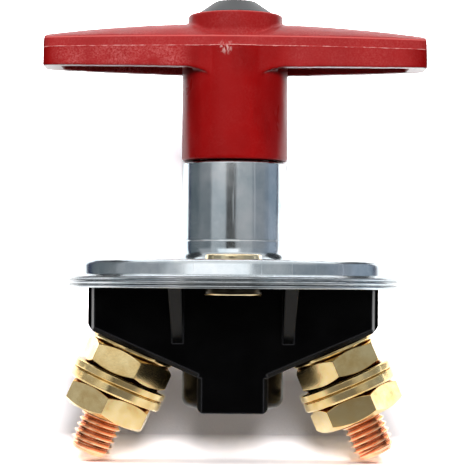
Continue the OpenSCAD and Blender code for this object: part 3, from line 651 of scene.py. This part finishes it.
# %% Handle with moulded edges
VOXEL = 0.32 * MM
SMOOTH_PASSES = 5
HANDLE_TRIANGLES = 190000
WELD = 0.001 * MM


def handle_copy():
    work = bmesh.new()
    work.from_mesh(nodes["handle"].data)
    bmesh.ops.remove_doubles(work, verts=work.verts, dist=WELD)
    piece = link("handle_skin", mesh_of(work, "handle_skin"))
    piece.data.transform(nodes["handle"].matrix_world)
    return piece


def soften(piece):
    remesh = piece.modifiers.new("remesh", "REMESH")
    remesh.mode = "VOXEL"
    remesh.voxel_size = VOXEL
    smooth = piece.modifiers.new("smooth", "SMOOTH")
    smooth.factor = 0.5
    smooth.iterations = SMOOTH_PASSES
    apply_modifiers(piece)


def thin_out(piece, most):
    triangles = sum(len(face.vertices) - 2 for face in piece.data.polygons)
    if triangles > most:
        reduce = piece.modifiers.new("reduce", "DECIMATE")
        reduce.ratio = most / triangles
        apply_modifiers(piece)


handle_skin = handle_copy()
soften(handle_skin)
thin_out(handle_skin, HANDLE_TRIANGLES)
shade_smooth(handle_skin)
set_material(handle_skin, RED)
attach(handle_skin, "rotor")
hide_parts("handle")
print("handle faces:", len(handle_skin.data.polygons))

# %% [markdown]
# ## Outline of the handle
# Two halves of the mould met in a level line round the handle's sides. To follow it exactly, a level plane cuts
# the softened handle, and the cut's edges are joined into closed lines. The one that reaches farthest along X is
# the outer outline. It is then spaced out evenly, and each point gets the direction that leads outwards.


# %% Outline at one level
def outer_loop(piece, z):
    """The widest closed line where a level plane cuts the piece, as points in order."""
    work = bmesh.new()
    work.from_mesh(piece.data)
    parts = work.verts[:] + work.edges[:] + work.faces[:]
    cut = bmesh.ops.bisect_plane(work, geom=parts, plane_co=(0, 0, z), plane_no=(0, 0, 1))["geom_cut"]
    beside = {}
    for edge in cut:
        if isinstance(edge, bmesh.types.BMEdge):
            for one, other in (edge.verts, reversed(edge.verts)):
                beside.setdefault(one, []).append(other)
    loops = []
    while beside:
        at = next(iter(beside))
        loop = []
        while at in beside:
            loop.append(at.co.xy.copy())
            at = next((v for v in beside.pop(at) if v in beside), None)
        loops.append(loop)
    work.free()
    return max(loops, key=lambda loop: max(p.x for p in loop) - min(p.x for p in loop))


def even_outline(points, step):
    """The closed line again as evenly spaced points with their outward directions."""
    ends = points[1:] + points[:1]
    lengths = [(q - p).length for p, q in zip(points, ends)]
    count = round(sum(lengths) / step)
    spaced, travelled, i = [], 0.0, 0
    for k in range(count):
        target = k * sum(lengths) / count
        while travelled + lengths[i] < target:
            travelled += lengths[i]
            i += 1
        spaced.append(points[i].lerp(ends[i], (target - travelled) / max(lengths[i], 1e-9)))
    turns = sum(p.cross(q) for p, q in zip(spaced, spaced[1:] + spaced[:1]))
    side = 1 if turns > 0 else -1
    chords = [(spaced[(k + 2) % count] - spaced[k - 2]).normalized() for k in range(count)]
    return [(point, Vector((along.y, -along.x)) * side) for point, along in zip(spaced, chords)]


OUTLINE_STEP = 0.35 * MM
handle_outline = even_outline(outer_loop(handle_skin, FLASH_Z), OUTLINE_STEP)
print("points on the outline:", len(handle_outline))

# %% [markdown]
# ## Flash line
# The mould left a thin raised line of flash, a little ragged, which the photograph shows as a pale streak. It is
# a fine strip with a flat-topped section along the outline. Its height wanders slowly, and its width and reach
# change from point to point by chance, from a fixed seed so that it is the same each time.

# %% Flash line round the handle
FLASH_H = 0.22 * MM
FLASH_OUT = 0.10 * MM
FLASH_ROOT = -0.15 * MM
FLASH_WANDER = 0.08 * MM
FLASH_SEED = 4


def flash_section(reach, half):
    """Corners of the section: distance out of the skin, and height."""
    return ((FLASH_ROOT, -half * 1.4), (reach, -half * 0.35), (reach, half * 0.35), (FLASH_ROOT, half * 1.4))


def flash_strip():
    chance = random.Random(FLASH_SEED)
    work = bmesh.new()
    rings = []
    wave = 0.0
    for point, normal in handle_outline:
        wave = 0.85 * wave + chance.uniform(-0.3, 0.3)
        z = FLASH_Z + FLASH_WANDER * wave
        reach = FLASH_OUT * (0.7 + 0.5 * chance.random())
        half = FLASH_H / 2 * (0.7 + 0.6 * chance.random())
        rings.append([work.verts.new((*(point + normal * r), z + h)) for r, h in flash_section(reach, half)])
    for ring, after in zip(rings, rings[1:] + rings[:1]):
        for k in range(4):
            work.faces.new((ring[k], after[k], after[(k + 1) % 4], ring[(k + 1) % 4]))
    bmesh.ops.recalc_face_normals(work, faces=work.faces)
    return link("flash_line", mesh_of(work, "flash_line"))


flash_line = flash_strip()
set_material(flash_line, FLASH)
shade_smooth(flash_line)
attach(flash_line, "rotor")
print("flash line points:", len(flash_line.data.vertices) // 4)

# %% [markdown]
# ## Thread as Geometry Nodes
# Each stud has a rolled thread of 1.5 mm pitch. A Screw modifier could make it, but then the ends would stop
# abruptly. The tree below sweeps a flat-topped triangle along a helix instead, and scales it down near both ends
# so that the thread runs out over a fourteenth of its length. The tree's inputs are named, so both studs use it.
# The helix is reversed to make the thread right-handed.

# %% Thread tree
STEPS_A_TURN = 48
RUN_OUT_PARTS = 14
THREAD_FOOT, THREAD_CREST = 0.98, 0.16
THREAD_INPUTS = {"Turns": "NodeSocketFloat", "Length": "NodeSocketFloat", "Root radius": "NodeSocketFloat",
                 "Pitch": "NodeSocketFloat", "Depth": "NodeSocketFloat", "Material": "NodeSocketMaterial"}


def thread_profile(tree, pitch, depth):
    """The triangle's outline, turned so that it stands on the root and points outwards."""
    outline = add(tree, "GeometryNodeCurvePrimitiveQuadrilateral", {"mode": "TRAPEZOID"}, Offset=0.0, Height=depth,
                  Bottom_Width=times(tree, pitch, THREAD_FOOT), Top_Width=times(tree, pitch, THREAD_CREST))
    shift = add(tree, "ShaderNodeCombineXYZ", X=times(tree, depth, 0.5))
    return add(tree, "GeometryNodeTransform", Geometry=outline.outputs["Curve"], Rotation=(0, 0, -math.pi / 2),
               Translation=shift.outputs[0]).outputs["Geometry"]


def thread_tree():
    tree = bpy.data.node_groups.new("rolled_thread", "GeometryNodeTree")
    for name, kind in THREAD_INPUTS.items():
        tree.interface.new_socket(name, in_out="INPUT", socket_type=kind)
    tree.interface.new_socket("Geometry", in_out="OUTPUT", socket_type="NodeSocketGeometry")
    into = tree.nodes.new("NodeGroupInput").outputs
    out = tree.nodes.new("NodeGroupOutput")
    helix = add(tree, "GeometryNodeCurveSpiral", Resolution=STEPS_A_TURN, Reverse=True, Rotations=into["Turns"],
                Height=into["Length"], Start_Radius=into["Root radius"], End_Radius=into["Root radius"])
    level = add(tree, "GeometryNodeSetCurveNormal", {"mode": "Z_UP"}, Curve=helix.outputs["Curve"])
    along = add(tree, "GeometryNodeSplineParameter").outputs["Factor"]
    from_end = calculate(tree, "MINIMUM", along, calculate(tree, "SUBTRACT", 1.0, along))
    run_out = calculate(tree, "MINIMUM", times(tree, from_end, RUN_OUT_PARTS), 1.0)
    sweep = add(tree, "GeometryNodeCurveToMesh", Curve=level.outputs["Curve"], Fill_Caps=True,
                Profile_Curve=thread_profile(tree, into["Pitch"], into["Depth"]),
                Scale=calculate(tree, "MAXIMUM", run_out, 0.02))
    real = add(tree, "GeometryNodeRealizeInstances", Geometry=sweep.outputs["Mesh"])
    finish = add(tree, "GeometryNodeSetMaterial", Geometry=real.outputs["Geometry"], Material=into["Material"])
    wire(tree, out, Geometry=finish.outputs["Geometry"])
    return tree


THREAD_TREE = thread_tree()
print("nodes in the thread tree:", len(THREAD_TREE.nodes))

# %% [markdown]
# ## Running the tree
# An empty object gets the tree as a modifier. Its inputs are set by each socket's identifier, before Blender first
# works out the result. That result then becomes a plain mesh, which can be joined to the rest of the stud and
# exported, and which could still be edited by hand.


# %% Run the tree
def grown(name, tree, values):
    """An object whose mesh the tree makes from the named values."""
    piece = link(name, bpy.data.meshes.new(name))
    modifier = piece.modifiers.new("nodes", "NODES")
    modifier.node_group = tree
    for item in tree.interface.items_tree:
        if item.item_type == "SOCKET" and item.in_out == "INPUT":
            modifier[item.identifier] = values[item.name]
    apply_modifiers(piece)
    return piece


print("inputs of the tree:", ", ".join(THREAD_INPUTS))

# %% [markdown]
# ## Turned core of a stud
# Inside its thread a stud is a turned bar: a round head inside the housing, a plain shank, a core at the thread's
# root and a small chamfer at the tip. A lathe function spins a list of radii and heights about Z, which is what
# the Spin tool does by hand.

# %% Lathe
AROUND = 96
ON_AXIS = 1e-7


def lathe(name, profile):
    """A closed turned solid about Z from (radius, height) pairs, from the lower end to the upper one."""
    work = bmesh.new()
    rings = []
    for r, z in profile:
        if r < ON_AXIS:
            rings.append([work.verts.new((0, 0, z))])
        else:
            rings.append([work.verts.new((r * math.cos(a), r * math.sin(a), z))
                          for a in (2 * math.pi * k / AROUND for k in range(AROUND))])
    for low, high in zip(rings, rings[1:]):
        for k in range(AROUND):
            after = (k + 1) % AROUND
            corners = [low[k % len(low)], low[after % len(low)], high[after % len(high)], high[k % len(high)]]
            work.faces.new(list(dict.fromkeys(corners)))
    bmesh.ops.recalc_face_normals(work, faces=work.faces)
    return link(name, mesh_of(work, name))


print("points round a turned ring:", AROUND)

# %% [markdown]
# ## Sizes of a stud
# Heights run along the stud from its seat on the housing. The thread starts hidden in the nuts, so its first turn
# isn't seen.

# %% Sizes of a stud
THREAD_PITCH = 1.5 * MM
THREAD_R = 5.0 * MM
THREAD_DEPTH = 0.86 * MM
THREAD_START = 17.0 * MM
THREAD_STOP = 0.7 * MM
ROOT_R = THREAD_R - THREAD_DEPTH
OVERLAP = 0.02 * MM
STUD_REACH = 26.9 * MM
STUD_CHAMFER = 1.1 * MM
SHANK_R = 4.2 * MM
HEAD_R = 7.0 * MM
HEAD_TOP = -5.0 * MM
HEAD_LOW = -7.5 * MM
HEAD_CHAMFER = 0.4 * MM
STUD_PROFILE = (
    (0, HEAD_LOW), (HEAD_R - HEAD_CHAMFER, HEAD_LOW), (HEAD_R, HEAD_LOW + HEAD_CHAMFER), (HEAD_R, HEAD_TOP),
    (SHANK_R, HEAD_TOP), (SHANK_R, THREAD_START), (ROOT_R, THREAD_START + 0.5 * MM),
    (ROOT_R, STUD_REACH - 0.5 * MM), (ROOT_R - 0.4 * MM, STUD_REACH - 0.08 * MM),
    (ROOT_R - 0.9 * MM, STUD_REACH), (0, STUD_REACH))
print("thread's root radius in mm:", round(ROOT_R / MM, 2))

# %% [markdown]
# ## Studs
# A stud's axis is the one that the record gives for the pin mount on its side, so the new stud stands exactly
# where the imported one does. Core and thread become one object, which then replaces the plain stud.

# %% Studs with threads
pin_mounts = {m["name"]: m for m in frame["record"]["mounts"] if m["kind"] == "pin"}
SHARP_ANGLE = math.radians(25)


def joined(pieces, name):
    """One object with the meshes of all the pieces, which are removed."""
    work = bmesh.new()
    for piece in pieces:
        work.from_mesh(piece.data)
        bpy.data.objects.remove(piece)
    return link(name, mesh_of(work, name))


def terminal_place(side):
    """Matrix of a terminal: +Z outwards along the stud's axis, with the origin on its seat."""
    mount = pin_mounts["stud_pin_" + side]
    axis = Vector(mount["axis"]).normalized()
    tip = Vector(mount["pos_m"]) + axis * (mount["dims"]["length_mm"] / 2 * MM + STUD_CHAMFER)
    across = Vector((0, 1, 0))
    turn = Matrix((across.cross(axis), across, axis)).transposed().to_4x4()
    return Matrix.Translation(tip - axis * STUD_REACH) @ turn


def dressed_stud(side):
    name = "stud_" + side
    length = STUD_REACH - THREAD_STOP - THREAD_START
    ridge = grown(name + "_ridge", THREAD_TREE, {
        "Turns": length / THREAD_PITCH, "Length": length, "Root radius": ROOT_R - OVERLAP, "Pitch": THREAD_PITCH,
        "Depth": THREAD_DEPTH + OVERLAP, "Material": COPPER})
    ridge.data.transform(Matrix.Translation((0, 0, THREAD_START)))
    stud = joined([lathe(name + "_core", STUD_PROFILE), ridge], name + "_dressed")
    stud.data.transform(terminal_place(side))
    set_material(stud, COPPER)
    shade_smooth(stud)
    stud.data.set_sharp_from_angle(angle=SHARP_ANGLE)
    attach(stud, "base")
    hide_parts(name)
    return stud


for side in ("left", "right"):
    print(dressed_stud(side).name, "ready")

# %% [markdown]
# ## Backdrop
# The photograph was taken on white paper that curves up behind the switch, and the soft shadow falls on the
# curve. One smooth sheet stands for it: a floor just below the studs' tips, a quarter circle and an upright wall.

# %% Backdrop
FLOOR_Z = -47 * MM
BEND_START = 5 * MM
BEND_R = 46 * MM
BEND_STEPS = 24
FAR = 30.0


def backdrop():
    turned = [math.pi / 2 * k / BEND_STEPS for k in range(BEND_STEPS + 1)]
    bend = [(BEND_START + BEND_R * math.sin(a), FLOOR_Z + BEND_R * (1 - math.cos(a))) for a in turned]
    profile = [(-FAR, FLOOR_Z)] + bend + [(bend[-1][0], FAR)]
    points = [(x, y, z) for y, z in profile for x in (-FAR, FAR)]
    faces = [(2 * k, 2 * k + 1, 2 * k + 3, 2 * k + 2) for k in range(len(profile) - 1)]
    mesh = bpy.data.meshes.new("backdrop")
    mesh.from_pydata(points, [], faces)
    sheet = link("backdrop", mesh)
    shade_smooth(sheet)
    return sheet


print("floor at z in mm:", FLOOR_Z / MM)

# %% [markdown]
# ## Colour of the backdrop
# Lit only by the lamps, white paper would look grey in the picture. So its colour is raised for camera rays
# alone, less so on the low part of the curve behind the switch, where the shadow has to stay dark. The shadow is
# deepest close to the object, which Ambient Occlusion adds. In the metal's reflections the floor is pale as well,
# but darker towards the camera. Seen from behind, the sheet is clear, so that the switch can be viewed from
# every side.

# %% Backdrop's material
SEEN_FLOOR, SEEN_BEND, SEEN_WALL, SEEN_ASIDE = 4.2, 1.0, 4.0, 1.6
SEEN_TINT = (1.0, 0.96, 0.985)
LIT_GREY = 0.12
MIRRORED_NEAR, MIRRORED_FAR = 0.4, 2.0
SHADOW_REACH = 28 * MM


def seen_colour(tree, x, z):
    low = remap(tree, z, -46.8 * MM, -42.5 * MM, SEEN_FLOOR, SEEN_BEND)
    high = remap(tree, z, -30 * MM, -14 * MM, 0.0, SEEN_WALL - SEEN_BEND)
    aside = remap(tree, calculate(tree, "ABSOLUTE", x), 38 * MM, 62 * MM, 0.0, SEEN_ASIDE)
    sky = add(tree, "ShaderNodeAmbientOcclusion", {"samples": 8}, Distance=SHADOW_REACH).outputs["AO"]
    bright = times(tree, plus(tree, low, high, aside), remap(tree, sky, 0.3, 0.72, 0.1, 1.0))
    return mix_colour(tree, 1.0, bright, SEEN_TINT, "MULTIPLY")


def backdrop_material():
    material, tree, shader = new_material("backdrop")
    rays = add(tree, "ShaderNodeLightPath").outputs
    x, y, z = split(tree, object_point(tree))
    mirrored = remap(tree, y, -45 * MM, -25 * MM, MIRRORED_NEAR, MIRRORED_FAR)
    colour = mix_colour(tree, rays["Is Glossy Ray"], grey(LIT_GREY), mirrored)
    colour = mix_colour(tree, rays["Is Camera Ray"], colour, seen_colour(tree, x, z))
    wire(tree, shader, Base_Color=colour, Roughness=1.0, Specular_IOR_Level=0.0)
    sides = add(tree, "ShaderNodeMixShader", Fac=add(tree, "ShaderNodeNewGeometry").outputs["Backfacing"])
    put(tree, sides.inputs[1], shader.outputs["BSDF"])
    put(tree, sides.inputs[2], add(tree, "ShaderNodeBsdfTransparent").outputs["BSDF"])
    wire(tree, tree.nodes["Material Output"], Surface=sides.outputs["Shader"])
    return material


set_material(backdrop(), backdrop_material())
print("backdrop ready")

# %% [markdown]
# ## World
# The camera and the reflections see a white room, but the world itself hardly lights the scene: nearly all the
# light comes from the lamps, so the shadow keeps its depth. Standard view keeps white as white.

# %% World and view
WORLD_LIGHT = 0.02


def white_world():
    world = bpy.data.worlds.new("world")
    bpy.context.scene.world = world
    world.use_nodes = True
    tree = world.node_tree
    rays = add(tree, "ShaderNodeLightPath").outputs
    seen = mix_colour(tree, rays["Is Glossy Ray"], grey(WORLD_LIGHT), grey(1.0))
    seen = mix_colour(tree, rays["Is Camera Ray"], seen, grey(1.0))
    wire(tree, tree.nodes["Background"], Color=seen, Strength=1.0)


bpy.context.scene.view_settings.view_transform = "Standard"
white_world()
print("world's light:", WORLD_LIGHT)

# %% [markdown]
# ## Lamps
# One broad main lamp in front, a little above, gives the even light of the photograph and throws the soft shadow
# backwards. Two weaker ones from the sides, the left one stronger, keep the edges of the skirt from going dark.
# They are suns, so their distance doesn't matter, and reflections leave them out.


# %% Lamps
def sun(name, azimuth, elevation, strength, width):
    data = bpy.data.lights.new(name, "SUN")
    data.energy = strength
    data.angle = math.radians(width)
    lamp = bpy.data.objects.new(name, data)
    a, e = math.radians(azimuth), math.radians(elevation)
    toward = Vector((math.sin(a) * math.cos(e), -math.cos(a) * math.cos(e), math.sin(e)))
    lamp.rotation_euler = toward.to_track_quat("Z", "Y").to_euler()
    lamp.visible_glossy = False
    bpy.context.scene.collection.objects.link(lamp)


SUNS = (("main_light", 4, 22, 3.1, 22), ("fill_left", -82, 25, 0.60, 30), ("fill_right", 82, 25, 0.30, 30))
for row in SUNS:
    sun(*row)
print("lamps:", len(SUNS))

# %% [markdown]
# ## Reflector cards
# Bright metal shows the room: grey walls at the sides, bright panels above and a dark gap where the camera stood.
# Cards stand for these, as bands of rings round the object that glow and that only reflections see. The near ring
# passes close to the tube, the lip and the skirt, so each of its bands is seen in one of these alone.


# %% A card
def card_material(name, colour, strength):
    material, tree, shader = new_material(name)
    tree.nodes.remove(shader)
    glow = add(tree, "ShaderNodeEmission", Color=(*colour, 1), Strength=strength)
    wire(tree, tree.nodes["Material Output"], Surface=glow.outputs[0])
    return material


def card(name, start, end, low, high, colour, strength, radius):
    """Band of a ring round the object: degrees from the camera's side, and heights in metres."""
    count = max(2, int(abs(end - start) / 5))
    points = []
    for i in range(count + 1):
        a = math.radians(start + (end - start) * i / count)
        points += [(radius * math.sin(a), -radius * math.cos(a), z) for z in (low, high)]
    faces = [(2 * i, 2 * i + 1, 2 * i + 3, 2 * i + 2) for i in range(count)]
    mesh = bpy.data.meshes.new(name)
    mesh.from_pydata(points, [], faces)
    piece = link(name, mesh)
    set_material(piece, card_material(name, colour, strength))
    for ray in ("camera", "diffuse", "shadow", "transmission", "volume_scatter"):
        setattr(piece, "visible_" + ray, False)


print("card function ready")

# %% [markdown]
# ## The room's cards
# Each row is a card: its name, where it starts and ends in degrees, its lower and upper height, its tint, its
# strength and its ring. The angles were worked out backwards from the photograph: a cylinder's normal at an angle
# mirrors what lies at twice that angle, so each stripe on the tube and the cover tells where a panel stood.

# %% The room's cards
NEAR, FAR_OFF, BEFORE_FAR = 0.09, 0.9, 0.88
WHITE, COOL, CLEAR, WARM = (1.0, 1.0, 1.0), (0.95, 0.98, 1.0), (0.95, 0.97, 1.0), (1.0, 0.97, 0.95)
SKIRT_TINT = (0.90, 0.95, 1.0)
CARDS = (
    ("card_lip_left", -160, -90, -0.0075, -0.0035, CLEAR, 0.22, NEAR),
    ("card_skirt_left", -165, -76, 0.037, 0.08, SKIRT_TINT, 0.06, NEAR),
    ("card_left_edge", -112, -103, -0.004, 0.037, (0.10, 0.14, 0.30), 0.3, NEAR),
    ("card_left_side", -103, -76, -0.004, 0.037, (0.80, 0.93, 1.0), 0.21, NEAR),
    ("card_left", -96, -50, -0.3, 0.1, (0.85, 0.94, 1.0), 0.26, FAR_OFF),
    ("card_left_upper", -96, -50, 0.1, 0.6, CLEAR, 0.50, FAR_OFF),
    ("card_front_left", -50, -17, 0.0, 0.6, COOL, 0.72, FAR_OFF),
    ("card_low_left", -50, -31, -0.15, 0.0, COOL, 0.35, FAR_OFF),
    ("card_low_middle", -31, 17, -0.6, 0.0, WARM, 0.06, FAR_OFF),
    ("card_low_right", 17, 60, -0.15, 0.0, COOL, 0.35, FAR_OFF),
    ("card_middle", -17, 4, 0.0, 0.13, (1.0, 0.93, 0.88), 0.05, FAR_OFF),
    ("card_bright", -35, 12, 0.13, 0.6, WHITE, 1.6, BEFORE_FAR),
    ("card_front_right", 4, 40, 0.0, 0.6, COOL, 0.60, FAR_OFF),
    ("card_side_right", 40, 70, 0.0, 0.6, (0.85, 0.92, 1.0), 0.42, FAR_OFF),
    ("card_right", 70, 112, -0.3, 0.6, (0.76, 0.86, 1.0), 0.42, FAR_OFF),
    ("card_right_side", 76, 100, -0.004, 0.037, (0.72, 0.84, 1.0), 0.54, NEAR),
    ("card_right_edge", 100, 106, -0.004, 0.037, (0.10, 0.13, 0.30), 0.3, NEAR),
    ("card_skirt_right", 76, 165, 0.037, 0.08, SKIRT_TINT, 0.06, NEAR),
    ("card_lip_right", 90, 160, -0.0075, -0.0035, CLEAR, 0.28, NEAR),
)
for row in CARDS:
    card(*row)
print("cards:", len(CARDS))

# %% [markdown]
# ## End
# The dressed model has to stay within the imported model's box.

# %% Finish
print("end of the script")
